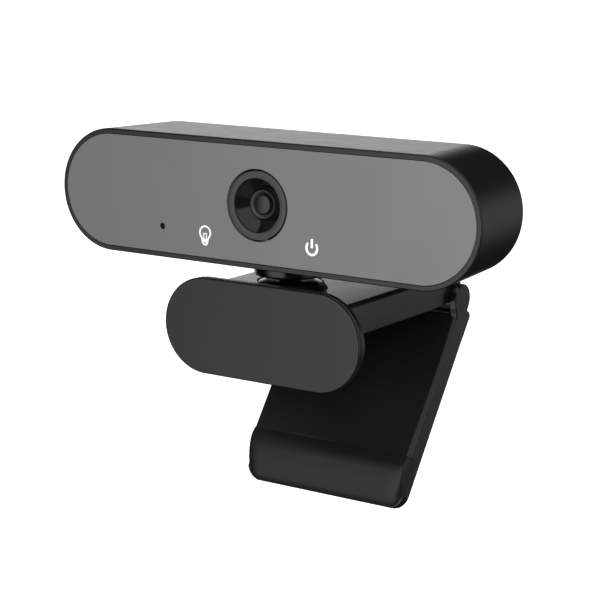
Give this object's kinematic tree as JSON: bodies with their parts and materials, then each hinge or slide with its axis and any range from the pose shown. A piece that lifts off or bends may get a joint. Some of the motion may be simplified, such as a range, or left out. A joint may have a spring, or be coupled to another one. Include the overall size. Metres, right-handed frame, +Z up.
{
  "type": "webcam",
  "caption": "Bar-shaped USB webcam head on a swivelling neck, carried by a folding clip that hooks over the top of a screen.",
  "frame": {"origin": "point on the flat underside of the clip's arm, on the part's centre plane, where it rests on the top edge of a screen", "axes": "+X to the right as seen from in front of the lens, +Y away from the viewer (the lens looks along -Y), +Z up"},
  "size_m": [0.1, 0.0548, 0.0798],
  "materials": {
    "satin_black": "satin",
    "gloss_black": "gloss",
    "panel_grey": "satin",
    "ring_grey": "satin",
    "rubber_black": "matt",
    "front_glass": "polished",
    "steel": "turned",
    "brass": "turned",
    "board_green": "solder mask",
    "chip_black": "matt",
    "symbol_white": "satin",
    "clear_plastic": "clear",
    "header_white": "matt"
  },
  "bodies": {
    "clip": {"clip_arm": "satin_black", "clip_face": "satin_black", "stop_pad": "rubber_black", "tripod_insert": "brass", "hinge_pin": "steel", "hinge_washer_left": "steel", "hinge_washer_right": "steel"},
    "leg": {"leg_plate": "satin_black", "leg_pad": "rubber_black", "foot_pad": "rubber_black"},
    "swivel": {"swivel_base": "gloss_black", "tilt_pin": "steel", "pan_screw": "steel", "pan_washer": "steel"},
    "head": {"housing_shell": "satin_black", "rear_cover": "satin_black", "front_panel": "panel_grey", "lens_ring": "ring_grey", "lens_cone": "gloss_black", "lens_barrel": "ring_grey", "lens_glass": "front_glass", "lens_holder": "satin_black", "image_sensor": "chip_black", "main_board": "board_green", "microphone": "steel", "mic_gasket": "rubber_black", "bulb_symbol": "symbol_white", "power_ring": "symbol_white", "power_bar": "symbol_white", "lamp_left": "symbol_white", "lamp_right": "symbol_white", "light_guide_left": "clear_plastic", "light_guide_right": "clear_plastic", "usb_header": "header_white", "board_screw_left": "steel", "board_screw_right": "steel", "cable_grommet": "rubber_black", "neck_collar": "gloss_black", "collar_nut": "steel"}
  },
  "joints": [
    {"name": "leg_fold", "type": "hinge", "parent": "clip", "child": "leg", "pos_m": [0, 0.0263, 0.00085], "axis": [1, 0, 0], "range_deg": [-36, 90]},
    {"name": "head_pan", "type": "hinge", "parent": "clip", "child": "swivel", "pos_m": [0, -0.0125, 0.008], "axis": [0, 0, 1], "range_deg": [-90, 90]},
    {"name": "head_tilt", "type": "hinge", "parent": "swivel", "child": "head", "pos_m": [0, -0.0125, 0.008], "axis": [1, 0, 0], "range_deg": [-7, 7]}
  ]
}
